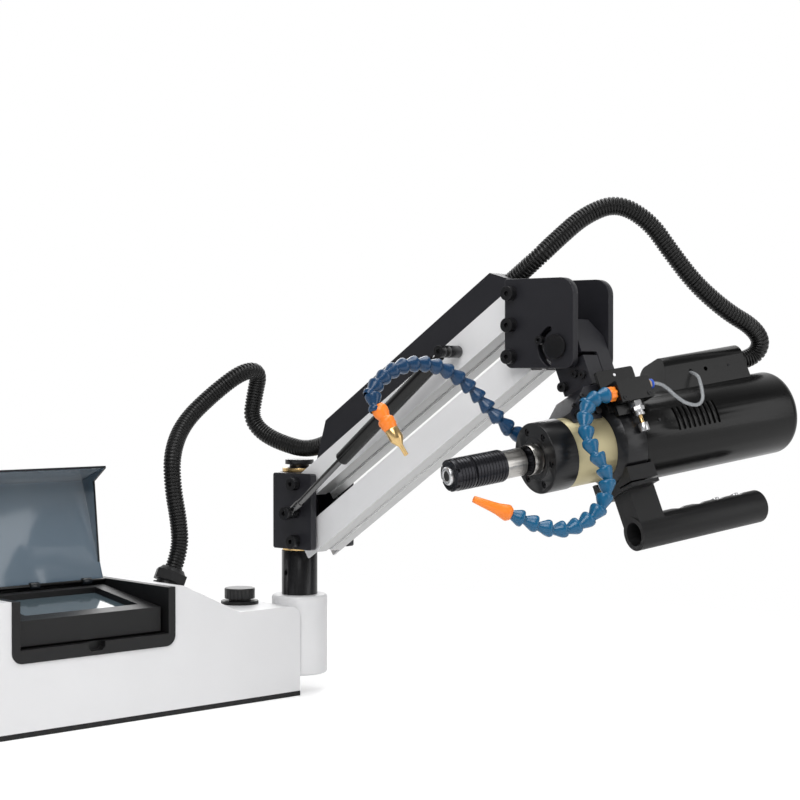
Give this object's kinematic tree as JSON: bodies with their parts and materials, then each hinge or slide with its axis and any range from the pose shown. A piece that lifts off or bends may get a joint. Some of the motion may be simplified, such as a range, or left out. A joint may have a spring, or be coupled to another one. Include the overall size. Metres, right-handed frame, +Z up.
{
  "type": "arm tapping machine",
  "caption": "Bench tapping arm: touch-screen cabinet with a column, parallel lift arm with gas spring, tilting and swivelling motor spindle, grip and coolant hoses.",
  "frame": {"origin": "centre of the cabinet's footprint on the bench", "axes": "+X along the cabinet's front towards the column, +Y to its back, +Z up; the arm reaches towards -Y"},
  "size_m": [0.7652, 0.7068, 0.6046],
  "materials": {
    "white_coat": "satin powder coat",
    "black_plastic": "moulded",
    "screen_glass": "gloss",
    "screen_panel": "gloss",
    "smoked_plastic": "gloss",
    "steel": "turned",
    "black_steel": "satin black",
    "brass": "turned",
    "anodised": "dark anodised",
    "profile_aluminium": "clear anodised",
    "gold_aluminium": "champagne anodised",
    "black_aluminium": "black anodised",
    "conduit_black": "corrugated",
    "hose_blue": "gloss",
    "orange_plastic": "gloss",
    "clear_tube": "clear",
    "nickel": "plated"
  },
  "bodies": {
    "cabinet": {"cabinet_shell": "white_coat", "base_plate": "black_steel", "screen_bezel": "black_plastic", "touch_screen": "screen_panel", "screen_glass": "screen_glass", "lid_hinge": "black_steel", "filler_neck": "black_plastic", "conduit_gland": "black_plastic", "column_boss": "black_aluminium", "column": "black_steel", "retaining_cap": "black_aluminium", "servo_drive": "black_aluminium", "cabinet_conduit": "conduit_black"},
    "lid": {"smoked_lid": "smoked_plastic"},
    "oil_cap": {"filler_cap": "black_plastic"},
    "swivel": {"swivel_housing": "anodised", "column_bushes": "brass", "housing_plate_front": "anodised", "housing_plate_rear": "anodised", "housing_bolts": "black_steel"},
    "upper_link": {"upper_profile": "profile_aluminium", "upper_bushes": "steel", "cable_cover": "black_aluminium"},
    "lower_link": {"lower_profile": "profile_aluminium", "lower_bushes": "steel"},
    "gas_lower": {"gas_rod": "steel"},
    "gas_upper": {"gas_tube": "black_aluminium", "gas_upper_stud": "black_steel"},
    "head": {"head_plate_front": "anodised", "head_plate_rear": "anodised", "head_bolts": "black_steel", "head_conduit": "conduit_black"},
    "neck": {"tilt_pin": "black_steel", "tilt_lock_screw": "black_steel", "neck_block": "anodised", "neck_tongue": "anodised", "neck_screws": "black_steel"},
    "spindle_head": {"saddle": "anodised", "housing_screws": "black_steel", "gear_housing": "gold_aluminium", "front_flange": "black_aluminium", "spindle_bearings": "steel", "motor_ring": "black_aluminium", "servo_motor": "black_aluminium", "motor_cover": "black_aluminium", "cable_box": "black_aluminium", "handle": "black_plastic", "mist_bracket": "black_aluminium", "mist_valve": "black_aluminium", "valve_fittings": "nickel", "near_hose": "hose_blue", "rear_hose": "hose_blue", "air_tube": "clear_tube", "hose_nozzles": "orange_plastic"},
    "spindle": {"spindle_shaft": "steel", "chuck_nose": "black_steel"},
    "sleeve": {"release_sleeve": "black_steel"},
    "knob": {"needle_knob": "steel"},
    "button_a": {"button_front": "nickel"},
    "button_b": {"button_rear": "nickel"}
  },
  "joints": [
    {"name": "arm_swing", "type": "hinge", "parent": "cabinet", "child": "swivel", "pos_m": [0.2445, -0.0525, 0.183], "axis": [0, 0, 1], "range_deg": [-40, 110], "deforming": ["cabinet_conduit"]},
    {"name": "arm_lift", "type": "hinge", "parent": "swivel", "child": "upper_link", "pos_m": [0.24842, -0.08224, 0.264], "axis": [-0.9914, -0.1305, 0], "range_deg": [-45, 10], "deforming": ["cabinet_conduit"]},
    {"name": "lower_link_turn", "type": "hinge", "parent": "swivel", "child": "lower_link", "pos_m": [0.24842, -0.08224, 0.193], "axis": [-0.9914, -0.1305, 0], "range_deg": [-45, 10]},
    {"name": "head_level", "type": "hinge", "parent": "upper_link", "child": "head", "pos_m": [0.29144, -0.40907, 0.49056], "axis": [-0.9914, -0.1305, 0], "range_deg": [-10, 45], "deforming": ["head_conduit"]},
    {"name": "gas_rod_turn", "type": "hinge", "parent": "swivel", "child": "gas_lower", "pos_m": [0.19884, -0.08877, 0.2285], "axis": [-0.9914, -0.1305, 0], "range_deg": [-43.5, 10]},
    {"name": "gas_slide", "type": "slide", "parent": "gas_lower", "child": "gas_upper", "axis": [0.1013, -0.7691, 0.631], "range_m": [-0.025, 0.006]},
    {"name": "head_tilt", "type": "hinge", "parent": "head", "child": "neck", "pos_m": [0.29945, -0.46985, 0.43096], "axis": [-0.9914, -0.1305, 0], "range_deg": [-24, 78], "deforming": ["head_conduit"]},
    {"name": "head_swivel", "type": "hinge", "parent": "neck", "child": "spindle_head", "pos_m": [0.30512, -0.51293, 0.32341], "axis": [-0.0489, 0.3714, 0.9272], "range_deg": [-15, 45], "deforming": ["head_conduit"]},
    {"name": "spindle_spin", "type": "hinge", "parent": "spindle_head", "child": "spindle", "pos_m": [0.30512, -0.51293, 0.32341], "axis": [0.9646, -0.2233, 0.1403], "continuous": true},
    {"name": "sleeve_slide", "type": "slide", "parent": "spindle", "child": "sleeve", "axis": [0.9646, -0.2233, 0.1403], "range_m": [0, 0.005], "stiffness_N_per_m": 2000, "springref_m": -0.004},
    {"name": "needle_turn", "type": "hinge", "parent": "spindle_head", "child": "knob", "pos_m": [0.30344, -0.56349, 0.34357], "axis": [-0.0489, 0.3714, 0.9272], "range_deg": [0, 540]},
    {"name": "button_a_press", "type": "slide", "parent": "spindle_head", "child": "button_a", "axis": [0.0489, -0.3714, -0.9272], "range_m": [0, 0.002], "stiffness_N_per_m": 1000, "springref_m": -0.001},
    {"name": "button_b_press", "type": "slide", "parent": "spindle_head", "child": "button_b", "axis": [0.0489, -0.3714, -0.9272], "range_m": [0, 0.002], "stiffness_N_per_m": 1000, "springref_m": -0.001},
    {"name": "oil_cap_turn", "type": "hinge", "parent": "cabinet", "child": "oil_cap", "pos_m": [0.1785, -0.0145, 0.12], "axis": [0, 0, 1], "range_deg": [0, 270]},
    {"name": "lid_turn", "type": "hinge", "parent": "cabinet", "child": "lid", "pos_m": [-0.08025, 0.0485, 0.149], "axis": [1, 0, 0], "range_deg": [0, 109]}
  ],
  "couplings": [
    {"joint": "lower_link_turn", "follows": "arm_lift", "ratio": 1},
    {"joint": "head_level", "follows": "arm_lift", "ratio": -1},
    {"joint": "gas_rod_turn", "follows": "arm_lift", "ratio": 0.955},
    {"joint": "gas_slide", "follows": "arm_lift", "m_per_rad": 0.031}
  ]
}
